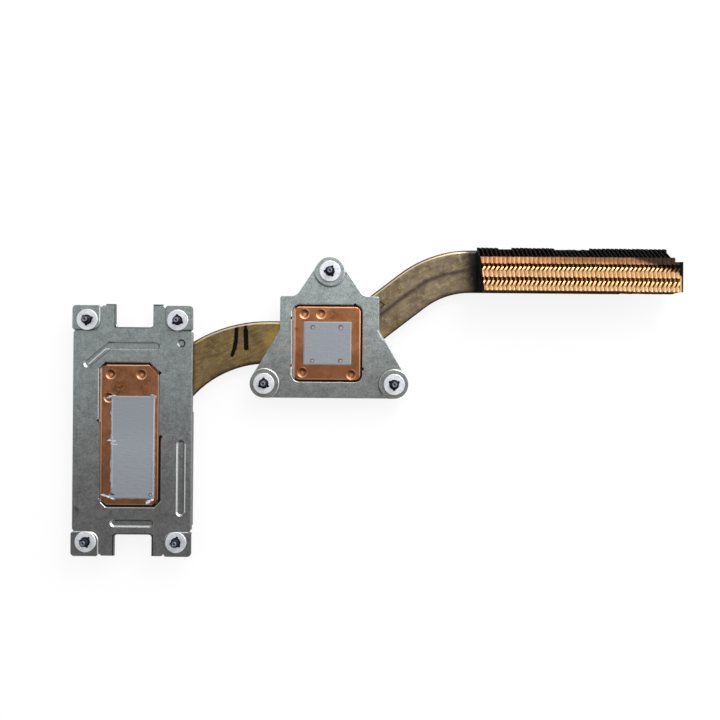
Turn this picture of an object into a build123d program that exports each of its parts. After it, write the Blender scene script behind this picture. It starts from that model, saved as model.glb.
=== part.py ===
import os
from math import cos, radians, sin, sqrt, tan

from build123d import *

# Heatsink of a laptop, without its fan. All sizes are in millimetres.
# +X runs from the processor plate to the fins, +Y to the exhaust side and +Z towards the
# circuit board. The origin is the centre of the processor's four screws, in the plane of the
# thermal paste's face.

# Levels along Z
paste_thickness = 0.12
base_proud = 0.18
sheet = 0.8
base_ledge_thickness = 0.5
pad_rise = 0.6

# Stamped sheet details
step_wall = 0.7
bead_depth = 0.45
bead_wall = 0.25
bead_draft = 45
bend_radius = 0.5
rollover = 0.12
opening_roll = 0.35
step_roll = 0.45
relief_size = 0.9

# Processor plate
cpu_pitch_x = 24.0
cpu_pitch_y = 59.0
cpu_margin_x = 4.0
cpu_margin_y = 3.85
cpu_corner_radius = 1.0
cpu_pad_x = 7.4
cpu_pad_y = 6.65
cpu_pad_radius = 2.65
cpu_notch_x = 0.4
cpu_notch_width = 9.9
cpu_notch_depth = 5.7
cpu_notch_radius = 0.8
cpu_tab_width = 2.7
cpu_tab_rise = 0.4
cpu_vee = 0.8
flange_drop = 1.3
flange_bottom_y = -25.2
left_flange_top_y = 15.9
left_flange_breaks = (-4.0, -12.8)
flange_break_width = 0.7
pipe_window_gap = 4.4
lip_width = 8.0
lip_drop = 0.7

# Beads and pip pressed into the processor plate
bead_width = 2.2
top_bead_right = (6.1, 22.6)
top_bead_bend = (-6.2, 22.6)
top_bead_left = (-12.0, 17.8)
right_bead_x = 12.9
right_bead_top_y = -3.4
right_bead_bottom_y = -21.6
bottom_bead_y = -24.6
bottom_bead_half = 4.7
pip_place = (12.9, 23.4)
pip_diameter = 2.2

# Processor contact base
cpu_base_x = -0.7
cpu_base_y = -1.1
cpu_base_width = 15.4
cpu_base_length = 37.3
cpu_base_chamfer = 1.6
cpu_base_key_chamfer = 2.65
cpu_side_step = 0.55
cpu_left_step_y = 2.6
cpu_right_step_y = -1.6
cpu_dimples = ((-5.8, 15.0), (2.35, 15.0), (-6.3, 8.8))
base_ledge = 1.4
snug_gap = 0.15
wide_gap = 0.55

# Graphics plate, its lower corners being the two lower bosses
gpu_x = 52.3
gpu_y = 22.9
gpu_pcd = 40.0
gpu_boss_radius = 3.75
gpu_pad_radius = 4.2
gpu_shoulder_half = 13.2
gpu_shoulder_top = 13.4
gpu_shoulder_bottom = 4.4
gpu_shoulder_radius = 0.6
gpu_apex_half = 8.9
gpu_apex_radius = 2.5

# Graphics contact base, placed from the centre of the graphics screws
gpu_base_x = -0.55
gpu_base_y = 0.85
gpu_base_width = 17.6
gpu_base_length = 19.4
gpu_base_radius = 1.4
gpu_gap = 0.5
gpu_left_reliefs = (7.5, -5.2)
gpu_right_relief = -5.9
gpu_top_relief = 6.8
gpu_dimples = ((-6.7, 8.6), (-2.3, 8.6), (-7.2, -7.0), (5.8, -7.5))

# Dimples punched into the copper
dimple_diameter = 2.5
dimple_floor = 1.2
dimple_depth = 0.35

# Thermal paste prints
cpu_paste_x = 0.25
cpu_paste_y = -4.4
cpu_paste_width = 11.6
cpu_paste_length = 27.3
gpu_paste_x = -0.5
gpu_paste_y = 0.85
gpu_paste_width = 12.7
gpu_paste_length = 11.5
paste_radius = 0.4

# Heat pipe, a round tube pressed flat, with its sintered lining
pipe_width = 11.42
pipe_thickness = 2.0
pipe_wall = 0.3
pipe_cpu_x = 3.0
pipe_start_y = -20.0
pipe_gpu_offset = 1.0
pipe_big_radius = 33.0
pipe_small_radius = 25.5
pipe_bend_out_x = 56.1
pipe_bend_in_x = 81.2
pipe_fin_y = 43.35
pipe_end_x = 134.0
pipe_tip_length = 4.0
pipe_tip_width = 5.0
pipe_tip_radius = 1.5
crease_depth = 0.15
crease_width = 1.1
crease_lead = 2.0
wick_thickness = 0.35
wick_gap = 0.02

# Fin stack
fin_count = 46
fin_pitch = 1.153
fin_sheet = 0.2
fin_first_x = 91.45
fin_height = 7.4
fin_far_depth = 12.1
fin_near_depth = 9.05
hook_slot_width = 0.6
hook_slots = (2.85, 6.5)
short_cut = 0.5
short_fins = (5, 6, 7, 18, 19, 20, 21, 22, 23, 24, 25)
end_fin_depths = {44: 7.95, 45: 7.95}

# Captive screws, their rings and springs
screw_angles = (15, 50, 80, 35, 60, 5, 40)
ring_angles = (20, 95, 50, 75, 62, 90, 30)
head_diameter = 5.5
head_height = 1.2
head_chamfer = 0.2
recess_length = 2.6
recess_width = 0.6
recess_depth = 0.7
shoulder_diameter = 2.9
neck_diameter = 2.55
thread_diameter = 2.0
tip_reach = 3.6
tip_chamfer = 0.35
hole_gap = 0.1
neck_gap = 0.05
face_gap = 0.03
ring_diameter = 5.6
ring_thickness = 0.5
ring_edge = 0.15
ring_relief_radius = 0.36
spring_room = 3.8
spring_wire = 0.4
spring_mean_diameter = 3.9
spring_turns = 4

# Levels and places that follow from the sizes above
copper_z = -paste_thickness
plate_front = copper_z - base_proud
plate_back = plate_front - sheet
base_back = plate_back - base_ledge_thickness
pad_front = plate_front + pad_rise
pad_back = pad_front - sheet
pipe_near = base_back
pipe_far = pipe_near - pipe_thickness
pipe_gpu_y = gpu_y + pipe_gpu_offset
head_top = pad_back - spring_room
cpu_half_x = cpu_pitch_x / 2 + cpu_margin_x
cpu_half_y = cpu_pitch_y / 2 + cpu_margin_y
corners = ((-1, 1), (1, 1), (-1, -1), (1, -1))
cpu_screws = [(x * cpu_pitch_x / 2, y * cpu_pitch_y / 2) for x, y in corners]
gpu_directions = [(cos(radians(a)), sin(radians(a))) for a in (90, 210, 330)]
gpu_screws = [(gpu_x + x * gpu_pcd / 2, gpu_y + y * gpu_pcd / 2) for x, y in gpu_directions]
hole_radius = shoulder_diameter / 2 + hole_gap


def near(x, y):
    return lambda vertex: abs(vertex.X - x) < 0.01 and abs(vertex.Y - y) < 0.01


# Edges of the processor plate's front, told apart by the middle of each
def on_long_side(edge):
    middle = edge.center()
    between_pads = abs(middle.Y) < cpu_half_y - cpu_pad_y
    return between_pads and abs(abs(middle.X) - cpu_half_x) < 0.01


def on_bend(edge):
    middle = edge.center()
    between_pads = abs(middle.Y) < cpu_half_y / 2
    return between_pads and abs(abs(middle.X) - cpu_half_x + bend_radius) < 0.01


# Edges of the raised pads that step down to the plates, told from those on the outlines
def on_cpu_step(edge):
    middle = edge.center()
    inside_x = abs(middle.X) < cpu_half_x - cpu_corner_radius / 3
    inside_y = abs(middle.Y) < cpu_half_y - cpu_corner_radius / 3
    return inside_x and inside_y


def on_gpu_step(edge):
    middle = edge.center()
    reaches = [sqrt((middle.X - x) ** 2 + (middle.Y - y) ** 2) for x, y in gpu_screws]
    return abs(min(reaches) - gpu_pad_radius) < 0.01


# Front edges of an opening of this width and length whose middle is at x and y
def on_rim(edge, x, y, width, length):
    middle = edge.center()
    inside_x = abs(middle.X - x) < width / 2 + 0.01
    inside_y = abs(middle.Y - y) < length / 2 + 0.01
    return inside_x and inside_y and abs(middle.Z - plate_front) < 0.01


def on_snug_rim(edge):
    offset = abs(edge.center().X - cpu_base_x)
    on_side = abs(offset - cpu_base_width / 2 - snug_gap) < 0.01
    return on_side or edge.length < relief_size


# Route of the pipe's middle: straight runs joined by tangent arcs
def pipe_points():
    corner_out = Vector(pipe_bend_out_x, pipe_gpu_y)
    corner_in = Vector(pipe_bend_in_x, pipe_fin_y)
    slope = (corner_in - corner_out).normalized()
    turn = slope.get_angle(Vector(1, 0))
    setback = pipe_small_radius * tan(radians(turn / 2))
    return {
        "arc_centre": Vector(pipe_cpu_x + pipe_big_radius, pipe_gpu_y - pipe_big_radius),
        "slope": slope,
        "out_start": corner_out - Vector(setback, 0),
        "out_end": corner_out + slope * setback,
        "in_start": corner_in - slope * setback,
        "in_end": corner_in + Vector(setback, 0),
    }


def pipe_route():
    place = pipe_points()
    centre = place["arc_centre"]
    arc_start = (pipe_cpu_x, centre.Y)
    arc_end = (centre.X, pipe_gpu_y)
    with BuildLine() as route:
        Line((pipe_cpu_x, pipe_start_y + pipe_tip_length), arc_start)
        CenterArc(centre, pipe_big_radius, 180, -90)
        Line(arc_end, place["out_start"])
        TangentArc(place["out_start"], place["out_end"], tangent=(1, 0))
        Line(place["out_end"], place["in_start"])
        TangentArc(place["in_start"], place["in_end"], tangent=place["slope"])
        Line(place["in_end"], (pipe_end_x - pipe_tip_length, pipe_fin_y))
    return route.line


# Outline of the flat pipe with its two tapered tips, drawn in by an inset on every side
def pipe_outline(inset):
    half = pipe_width / 2 - inset
    tip_half = pipe_tip_width / 2 - inset
    start_y = pipe_start_y + inset
    end_x = pipe_end_x - inset
    foot_y = pipe_start_y + pipe_tip_length
    foot_x = pipe_end_x - pipe_tip_length
    with BuildSketch() as outline:
        trace(pipe_route(), line_width=2 * half)
        with BuildLine():
            Polyline(
                (pipe_cpu_x - half, foot_y),
                (pipe_cpu_x - tip_half, start_y),
                (pipe_cpu_x + tip_half, start_y),
                (pipe_cpu_x + half, foot_y),
                close=True,
            )
        make_face()
        with BuildLine():
            Polyline(
                (foot_x, pipe_fin_y + half),
                (foot_x, pipe_fin_y - half),
                (end_x, pipe_fin_y - tip_half),
                (end_x, pipe_fin_y + tip_half),
                close=True,
            )
        make_face()
        tips = [(pipe_cpu_x + side * tip_half, start_y) for side in (-1, 1)]
        tips += [(end_x, pipe_fin_y + side * tip_half) for side in (-1, 1)]
        for x, y in tips:
            fillet(outline.vertices().filter_by(near(x, y)), radius=pipe_tip_radius - inset)
    return outline.sketch


# Flat body on that outline, with fully rounded long edges
def pipe_body(inset):
    thickness = pipe_thickness - 2 * inset
    with BuildPart() as body:
        with BuildSketch(Plane.XY.offset(pipe_far + inset)):
            add(pipe_outline(inset))
        extrude(amount=thickness)
        fillet(body.faces().filter_by(Axis.Z).edges(), radius=0.49 * thickness)
    return body.part


# Conical dimples punched into a copper face
def dimple_cones(places):
    with BuildPart() as cones:
        with Locations(*[(x, y, copper_z) for x, y in places]):
            Cone(
                dimple_floor / 2,
                dimple_diameter / 2,
                dimple_depth,
                align=(Align.CENTER, Align.CENTER, Align.MAX),
            )
    return cones.part


# Stamped outline of the processor plate: end notches, tabs beside them and small vees
def cpu_plate_outline():
    with BuildSketch() as outline:
        Rectangle(2 * cpu_half_x, 2 * cpu_half_y)
        fillet(outline.vertices(), radius=cpu_corner_radius)
        with Locations((cpu_notch_x, cpu_half_y)):
            Rectangle(cpu_notch_width + 2 * cpu_tab_width, 2 * cpu_tab_rise)
        for side in (-1, 1):
            floor_y = side * (cpu_half_y - cpu_notch_depth)
            with Locations((cpu_notch_x, side * cpu_half_y)):
                Rectangle(cpu_notch_width, 2 * cpu_notch_depth, mode=Mode.SUBTRACT)
            for x in (cpu_notch_x - cpu_notch_width / 2, cpu_notch_x + cpu_notch_width / 2):
                fillet(outline.vertices().filter_by(near(x, floor_y)), radius=cpu_notch_radius)
        for x, y in corners:
            pad_edge_x = x * (cpu_half_x - cpu_pad_x)
            pad_edge_y = y * (cpu_half_y - cpu_pad_y)
            with Locations((pad_edge_x, y * cpu_half_y), (x * cpu_half_x, pad_edge_y)):
                Rectangle(cpu_vee, cpu_vee, rotation=45, mode=Mode.SUBTRACT)
    return outline.sketch


# Four corner pads, drawn outwards by a shift so that the step keeps a wall behind it
def cpu_pads(shift):
    with BuildSketch() as pads:
        for x, y in corners:
            centre_x = x * (cpu_half_x - cpu_pad_x / 2 + shift)
            centre_y = y * (cpu_half_y - cpu_pad_y / 2 + shift)
            inner = (centre_x - x * cpu_pad_x / 2, centre_y - y * cpu_pad_y / 2)
            with Locations((centre_x, centre_y)):
                Rectangle(cpu_pad_x, cpu_pad_y)
            fillet(pads.vertices().filter_by(near(*inner)), radius=cpu_pad_radius)
    return pads.sketch


# Beads and the pip, as round-ended slots
def cpu_beads(width, pip):
    runs = (
        (top_bead_right, top_bead_bend),
        (top_bead_bend, top_bead_left),
        ((right_bead_x, right_bead_top_y), (right_bead_x, right_bead_bottom_y)),
        ((-bottom_bead_half, bottom_bead_y), (bottom_bead_half, bottom_bead_y)),
    )
    with BuildSketch() as beads:
        for start, end in runs:
            SlotCenterPoint((Vector(*start) + Vector(*end)) / 2, end, width)
        with Locations(pip_place):
            Circle(pip / 2)
    return beads.sketch


# Opening around the processor base: snug on half of each side and wide on the rest
def cpu_opening():
    left = cpu_base_x - cpu_base_width / 2
    right = cpu_base_x + cpu_base_width / 2
    top = cpu_base_y + cpu_base_length / 2 + wide_gap
    bottom = cpu_base_y - cpu_base_length / 2 - wide_gap
    low_y = bottom + cpu_base_chamfer
    key_y = top - cpu_base_key_chamfer
    with BuildSketch() as opening:
        with BuildLine():
            Polyline(
                (left - snug_gap, low_y),
                (left - snug_gap, cpu_left_step_y),
                (left - wide_gap, cpu_left_step_y),
                (left - wide_gap, top - cpu_base_chamfer),
                (left - wide_gap + cpu_base_chamfer, top),
                (right + snug_gap - cpu_base_key_chamfer, top),
                (right + snug_gap, key_y),
                (right + snug_gap, cpu_right_step_y),
                (right + wide_gap, cpu_right_step_y),
                (right + wide_gap, low_y),
                (right + wide_gap - cpu_base_chamfer, bottom),
                (left - snug_gap + cpu_base_chamfer, bottom),
                close=True,
            )
        make_face()
    return opening.sketch


# Square reliefs on their corners, at the opening's steps and beside two of its chamfers
def cpu_reliefs():
    left = cpu_base_x - cpu_base_width / 2
    right = cpu_base_x + cpu_base_width / 2
    top = cpu_base_y + cpu_base_length / 2 + wide_gap
    bottom = cpu_base_y - cpu_base_length / 2 - wide_gap
    with BuildSketch() as reliefs:
        with Locations(
            (left - snug_gap, bottom + cpu_base_chamfer),
            (left - wide_gap, cpu_left_step_y),
            (right + snug_gap, top - cpu_base_key_chamfer),
            (right + wide_gap, cpu_right_step_y),
        ):
            Rectangle(relief_size, relief_size, rotation=45)
    return reliefs.sketch


# Block of the processor base, with one larger corner that keys it in its opening
def cpu_base_outline(grow):
    half_x = cpu_base_width / 2 + grow
    half_y = cpu_base_length / 2 + grow
    with BuildSketch() as outline:
        with Locations((cpu_base_x, cpu_base_y)):
            Rectangle(2 * half_x, 2 * half_y)
        for x, y in corners:
            corner = (cpu_base_x + x * half_x, cpu_base_y + y * half_y)
            cut = cpu_base_key_chamfer if (x, y) == (1, 1) else cpu_base_chamfer
            chamfer(outline.vertices().filter_by(near(*corner)), length=cut)
    return outline.sketch


# Stamped outline of the graphics plate: an apex lobe, square shoulders and two lower lobes
def gpu_plate_outline():
    apex, left, right = gpu_screws
    top_y = gpu_y + gpu_shoulder_top
    low_y = gpu_y + gpu_shoulder_bottom
    with BuildSketch() as outline:
        with BuildLine(mode=Mode.PRIVATE) as apex_lobe:
            CenterArc(apex, gpu_boss_radius, 0, 360)
            Line((gpu_x - gpu_apex_half, top_y), (gpu_x + gpu_apex_half, top_y))
        make_hull(apex_lobe.edges())
        with BuildLine(mode=Mode.PRIVATE) as lower_lobes:
            CenterArc(left, gpu_boss_radius, 0, 360)
            CenterArc(right, gpu_boss_radius, 0, 360)
            Line((gpu_x - gpu_shoulder_half, low_y), (gpu_x + gpu_shoulder_half, low_y))
        make_hull(lower_lobes.edges())
        with Locations((gpu_x, (top_y + low_y) / 2)):
            Rectangle(2 * gpu_shoulder_half, top_y - low_y)
        for side in (-1, 1):
            foot = (gpu_x + side * gpu_apex_half, top_y)
            shoulder = (gpu_x + side * gpu_shoulder_half, top_y)
            fillet(outline.vertices().filter_by(near(*foot)), radius=gpu_apex_radius)
            fillet(outline.vertices().filter_by(near(*shoulder)), radius=gpu_shoulder_radius)
    return outline.sketch


def gpu_opening():
    with BuildSketch() as opening:
        with Locations((gpu_x + gpu_base_x, gpu_y + gpu_base_y)):
            RectangleRounded(
                gpu_base_width + 2 * gpu_gap,
                gpu_base_length + 2 * gpu_gap,
                gpu_base_radius + gpu_gap,
            )
    return opening.sketch


def gpu_reliefs():
    centre = (gpu_x + gpu_base_x, gpu_y + gpu_base_y)
    half_x = gpu_base_width / 2 + gpu_gap
    half_y = gpu_base_length / 2 + gpu_gap
    places = [(centre[0] - half_x, gpu_y + y) for y in gpu_left_reliefs]
    places.append((centre[0] + half_x, gpu_y + gpu_right_relief))
    places.append((gpu_x + gpu_top_relief, centre[1] + half_y))
    with BuildSketch() as reliefs:
        with Locations(*places):
            Rectangle(relief_size, relief_size, rotation=45)
    return reliefs.sketch


# Processor plate
with BuildPart() as cpu_plate:
    with BuildSketch(Plane.XY.offset(plate_back)):
        add(cpu_plate_outline())
    extrude(amount=sheet)
    # Long sides rounded where they bend, every other front edge rolled over by the punch
    sides = cpu_plate.faces().sort_by(Axis.Z)[-1].edges().filter_by(on_long_side)
    fillet(sides, radius=bend_radius)
    rims = cpu_plate.faces().sort_by(Axis.Z)[-1].edges()
    fillet(rims.filter_by(lambda edge: not on_bend(edge)), radius=rollover)
    # Side flanges bent away from the board, broken twice on the left
    pipe_place = pipe_points()["arc_centre"]
    inner_reach = pipe_big_radius - pipe_width / 2
    window_y = pipe_place.Y + sqrt(inner_reach**2 - (pipe_place.X - cpu_half_x) ** 2)
    right_flange_top_y = window_y - pipe_window_gap
    with BuildSketch(Plane.XY.offset(plate_back)):
        for side, top_y in ((-1, left_flange_top_y), (1, right_flange_top_y)):
            with Locations((side * (cpu_half_x - sheet / 2), (top_y + flange_bottom_y) / 2)):
                Rectangle(sheet, top_y - flange_bottom_y)
        with Locations(*[(-cpu_half_x + sheet / 2, y) for y in left_flange_breaks]):
            Rectangle(sheet, flange_break_width, mode=Mode.SUBTRACT)
    extrude(amount=-flange_drop)
    # Lips bent down at the floors of both notches
    with BuildSketch(Plane.XY.offset(plate_back)):
        lip_y = cpu_half_y - cpu_notch_depth - sheet / 2
        with Locations((cpu_notch_x, lip_y), (cpu_notch_x, -lip_y)):
            Rectangle(lip_width, sheet)
    extrude(amount=-lip_drop)
    # Corner pads raised towards the board, with a soft step down to the plate
    with BuildSketch(Plane.XY.offset(plate_front - rollover)):
        add(cpu_plate_outline())
        add(cpu_pads(0), mode=Mode.INTERSECT)
    extrude(amount=pad_rise + rollover)
    with BuildSketch(Plane.XY.offset(plate_back)):
        add(cpu_pads(step_wall))
    extrude(amount=pad_rise, mode=Mode.SUBTRACT)
    tops = cpu_plate.faces().sort_by(Axis.Z)[-4:]
    fillet(tops.edges().filter_by(on_cpu_step), radius=step_roll)
    # Opening for the base, its front rim rounded where the gap is wide
    with BuildSketch(Plane.XY.offset(plate_back)):
        add(cpu_opening())
    extrude(amount=sheet, mode=Mode.SUBTRACT)
    opening_size = (cpu_base_width + 2 * wide_gap, cpu_base_length + 2 * wide_gap)
    rim = cpu_plate.edges().filter_by(
        lambda edge: on_rim(edge, cpu_base_x, cpu_base_y, *opening_size)
    )
    fillet(rim.filter_by(lambda edge: not on_snug_rim(edge)), radius=opening_roll)
    with BuildSketch(Plane.XY.offset(plate_back)):
        add(cpu_reliefs())
    extrude(amount=sheet, mode=Mode.SUBTRACT)
    # Beads: bumps behind and channels in front
    with BuildSketch(Plane.XY.offset(plate_back)):
        add(cpu_beads(bead_width + 2 * bead_wall, pip_diameter + 2 * bead_wall))
    extrude(amount=-bead_depth)
    with BuildSketch(Plane.XY.offset(plate_front)):
        add(cpu_beads(bead_width, pip_diameter))
    extrude(amount=-bead_depth, taper=bead_draft, mode=Mode.SUBTRACT)
    with BuildSketch(Plane.XY.offset(plate_back)):
        with Locations(*cpu_screws):
            Circle(hole_radius)
    extrude(amount=sheet + pad_rise, mode=Mode.SUBTRACT)
cpu_plate.part.label = "cpu_plate"
export_step(cpu_plate.part, "parts/cpu_plate.step")

# Processor base: ledge behind the plate, block through it and a raised contact face
with BuildPart() as cpu_base:
    with BuildSketch(Plane.XY.offset(base_back)):
        add(cpu_base_outline(base_ledge))
    extrude(amount=base_ledge_thickness)
    with BuildSketch(Plane.XY.offset(plate_back)):
        add(cpu_base_outline(0))
    extrude(amount=sheet)
    with BuildSketch(Plane.XY.offset(plate_front)):
        add(cpu_base_outline(0))
        with Locations((cpu_base_x, cpu_base_y)):
            Rectangle(cpu_base_width - 2 * cpu_side_step, cpu_base_length, mode=Mode.INTERSECT)
    extrude(amount=base_proud)
    fillet(cpu_base.faces().sort_by(Axis.Z)[-1].edges(), radius=rollover)
    add(dimple_cones(cpu_dimples), mode=Mode.SUBTRACT)
cpu_base.part.label = "cpu_base"
export_step(cpu_base.part, "parts/cpu_base.step")

# Graphics plate
with BuildPart() as gpu_plate:
    with BuildSketch(Plane.XY.offset(plate_back)):
        add(gpu_plate_outline())
    extrude(amount=sheet)
    fillet(gpu_plate.faces().sort_by(Axis.Z)[-1].edges(), radius=rollover)
    # Round pads raised at the bosses, with the same soft step
    with BuildSketch(Plane.XY.offset(plate_front - rollover)):
        with Locations(*gpu_screws):
            Circle(gpu_pad_radius)
        add(gpu_plate_outline(), mode=Mode.INTERSECT)
    extrude(amount=pad_rise + rollover)
    tops = gpu_plate.faces().sort_by(Axis.Z)[-3:]
    fillet(tops.edges().filter_by(on_gpu_step), radius=step_roll)
    with BuildSketch(Plane.XY.offset(plate_back)):
        reach = gpu_pcd / 2 + step_wall
        with Locations(*[(gpu_x + x * reach, gpu_y + y * reach) for x, y in gpu_directions]):
            Circle(gpu_pad_radius)
    extrude(amount=pad_rise, mode=Mode.SUBTRACT)
    # Opening for the base with a rounded front rim, its reliefs and the screw holes
    with BuildSketch(Plane.XY.offset(plate_back)):
        add(gpu_opening())
    extrude(amount=sheet, mode=Mode.SUBTRACT)
    opening_size = (gpu_base_width + 2 * gpu_gap, gpu_base_length + 2 * gpu_gap)
    rim = gpu_plate.edges().filter_by(
        lambda edge: on_rim(edge, gpu_x + gpu_base_x, gpu_y + gpu_base_y, *opening_size)
    )
    fillet(rim, radius=opening_roll)
    with BuildSketch(Plane.XY.offset(plate_back)):
        add(gpu_reliefs())
        with Locations(*gpu_screws):
            Circle(hole_radius)
    extrude(amount=sheet + pad_rise, mode=Mode.SUBTRACT)
gpu_plate.part.label = "gpu_plate"
export_step(gpu_plate.part, "parts/gpu_plate.step")

# Graphics base
with BuildPart() as gpu_base:
    centre = (gpu_x + gpu_base_x, gpu_y + gpu_base_y)
    with BuildSketch(Plane.XY.offset(base_back)):
        with Locations(centre):
            RectangleRounded(
                gpu_base_width + 2 * base_ledge,
                gpu_base_length + 2 * base_ledge,
                gpu_base_radius + base_ledge,
            )
    extrude(amount=base_ledge_thickness)
    with BuildSketch(Plane.XY.offset(plate_back)):
        with Locations(centre):
            RectangleRounded(gpu_base_width, gpu_base_length, gpu_base_radius)
    extrude(amount=sheet + base_proud)
    fillet(gpu_base.faces().sort_by(Axis.Z)[-1].edges(), radius=rollover)
    add(dimple_cones([(gpu_x + x, gpu_y + y) for x, y in gpu_dimples]), mode=Mode.SUBTRACT)
gpu_base.part.label = "gpu_base"
export_step(gpu_base.part, "parts/gpu_base.step")

# Thermal paste prints on both bases
with BuildPart() as cpu_thermal_paste:
    with BuildSketch(Plane.XY.offset(copper_z)):
        with Locations((cpu_paste_x, cpu_paste_y)):
            RectangleRounded(cpu_paste_width, cpu_paste_length, paste_radius)
    extrude(amount=paste_thickness)
cpu_thermal_paste.part.label = "cpu_thermal_paste"
export_step(cpu_thermal_paste.part, "parts/cpu_thermal_paste.step")

with BuildPart() as gpu_thermal_paste:
    with BuildSketch(Plane.XY.offset(copper_z)):
        with Locations((gpu_x + gpu_paste_x, gpu_y + gpu_paste_y)):
            RectangleRounded(gpu_paste_width, gpu_paste_length, paste_radius)
    extrude(amount=paste_thickness)
gpu_thermal_paste.part.label = "gpu_thermal_paste"
export_step(gpu_thermal_paste.part, "parts/gpu_thermal_paste.step")

# Heat pipe: a sealed shell with a shallow crease between the graphics plate and the fins
with BuildPart() as heat_pipe:
    add(pipe_body(0))
    add(pipe_body(pipe_wall), mode=Mode.SUBTRACT)
    place = pipe_points()
    groove_radius = (crease_width**2 / 4 + crease_depth**2) / (2 * crease_depth)
    with BuildLine(Plane.XY.offset(pipe_near - crease_depth + groove_radius)) as crease:
        Line(place["out_end"], place["in_start"])
        TangentArc(place["in_start"], place["in_end"], tangent=place["slope"])
        Line(place["in_end"], place["in_end"] + Vector(crease_lead, 0))
    with BuildSketch(Plane(crease.line @ 0, z_dir=place["slope"])):
        Circle(groove_radius)
    sweep(path=crease.line, mode=Mode.SUBTRACT)
heat_pipe.part.label = "heat_pipe"
export_step(heat_pipe.part, "parts/heat_pipe.step")

with BuildPart() as heat_pipe_wick:
    add(pipe_body(pipe_wall + wick_gap))
    add(pipe_body(pipe_wall + wick_gap + wick_thickness), mode=Mode.SUBTRACT)
heat_pipe_wick.part.label = "heat_pipe_wick"
export_step(heat_pipe_wick.part, "parts/heat_pipe_wick.step")


# One fin: a web across the air, a far flange soldered to the pipe and three hooked near tabs
def fin(index):
    x = fin_first_x + index * fin_pitch
    low_y = pipe_fin_y - pipe_width / 2
    far_depth = fin_far_depth - (short_cut if index in short_fins else 0)
    far_depth = end_fin_depths.get(index, far_depth)
    near_depth = end_fin_depths.get(index, fin_near_depth)
    near_z = pipe_near + fin_height
    corner = (Align.MIN, Align.MIN)
    with BuildPart() as piece:
        with BuildSketch(Plane.YZ.offset(x)):
            with BuildLine():
                Polyline(
                    (low_y, pipe_near),
                    (low_y + far_depth, pipe_near),
                    (low_y + near_depth, near_z),
                    (low_y, near_z),
                    close=True,
                )
            make_face()
        extrude(amount=fin_sheet)
        with BuildSketch(Plane.XY.offset(pipe_near)):
            with Locations((x, low_y)):
                Rectangle(fin_pitch, far_depth, align=corner)
        extrude(amount=fin_sheet)
        with BuildSketch(Plane.XY.offset(near_z - fin_sheet)):
            with Locations((x, low_y)):
                Rectangle(fin_pitch, near_depth, align=corner)
            with Locations(*[(x + fin_sheet, low_y + y - hook_slot_width / 2) for y in hook_slots]):
                Rectangle(fin_pitch, hook_slot_width, align=corner, mode=Mode.SUBTRACT)
        extrude(amount=fin_sheet)
    piece.part.label = f"fin_{index + 1}"
    return piece.part


fin_stack = Compound(label="fin_stack", children=[fin(index) for index in range(fin_count)])
export_step(fin_stack, "parts/fin_stack.step")


# Captive screw: head with a cross recess, shoulder, neck for the ring and thread
def captive_screw(x, y, angle):
    head_bottom = head_top - head_height
    neck_end = pad_front + ring_thickness + face_gap
    tip_z = plate_front + tip_reach
    head_r = head_diameter / 2
    shoulder_r = shoulder_diameter / 2
    neck_r = neck_diameter / 2
    thread_r = thread_diameter / 2
    turned = Plane(origin=(x, y, head_bottom), x_dir=(cos(radians(angle)), sin(radians(angle)), 0))
    with BuildPart() as screw:
        with BuildSketch(Plane(origin=(x, y, 0), x_dir=(1, 0, 0), z_dir=(0, -1, 0))):
            with BuildLine():
                Polyline(
                    (0, head_bottom),
                    (head_r - head_chamfer, head_bottom),
                    (head_r, head_bottom + head_chamfer),
                    (head_r, head_top),
                    (shoulder_r, head_top),
                    (shoulder_r, pad_front - face_gap),
                    (neck_r, pad_front - face_gap),
                    (neck_r, neck_end),
                    (thread_r, neck_end),
                    (thread_r, tip_z - tip_chamfer),
                    (thread_r - tip_chamfer, tip_z),
                    (0, tip_z),
                    close=True,
                )
            make_face()
        revolve(axis=Axis((x, y, 0), (0, 0, 1)))
        with BuildSketch(turned):
            Rectangle(recess_length, recess_width)
            Rectangle(recess_width, recess_length)
        extrude(amount=recess_depth, mode=Mode.SUBTRACT)
    return screw.part


# Push-on ring: a washer whose bore has three reliefs
def retaining_ring(x, y, angle):
    bore_radius = neck_diameter / 2 + neck_gap
    turned = Plane(origin=(x, y, pad_front), x_dir=(cos(radians(angle)), sin(radians(angle)), 0))
    with BuildPart() as ring:
        with BuildSketch(turned):
            Circle(ring_diameter / 2)
            Circle(bore_radius, mode=Mode.SUBTRACT)
            with PolarLocations(bore_radius, 3):
                Circle(ring_relief_radius, mode=Mode.SUBTRACT)
        extrude(amount=ring_thickness)
        front_rim = ring.faces().sort_by(Axis.Z)[-1].edges().sort_by(SortBy.RADIUS)[-1]
        fillet(front_rim, radius=ring_edge)
    return ring.part


# Coil spring between the screw's head and the plate
def coil_spring(x, y):
    height = spring_room - spring_wire - 2 * face_gap
    start_z = head_top + face_gap + spring_wire / 2
    with BuildPart() as spring:
        with BuildLine() as coil:
            Helix(
                pitch=height / spring_turns,
                height=height,
                radius=spring_mean_diameter / 2,
                center=(x, y, start_z),
            )
        with BuildSketch(Plane(coil.line @ 0, z_dir=coil.line % 0)):
            Circle(spring_wire / 2)
        sweep(path=coil.line, is_frenet=True)
    return spring.part


screw_places = [(f"cpu_{{}}_{k + 1}", place) for k, place in enumerate(cpu_screws)]
screw_places += [(f"gpu_{{}}_{k + 1}", place) for k, place in enumerate(gpu_screws)]
for (name, place), screw_angle, ring_angle in zip(screw_places, screw_angles, ring_angles):
    pieces = {
        "screw": captive_screw(*place, screw_angle),
        "ring": retaining_ring(*place, ring_angle),
        "spring": coil_spring(*place),
    }
    for kind, piece in pieces.items():
        piece.label = name.format(kind)
        export_step(piece, f"parts/{piece.label}.step")
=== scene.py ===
import math
import random

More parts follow.
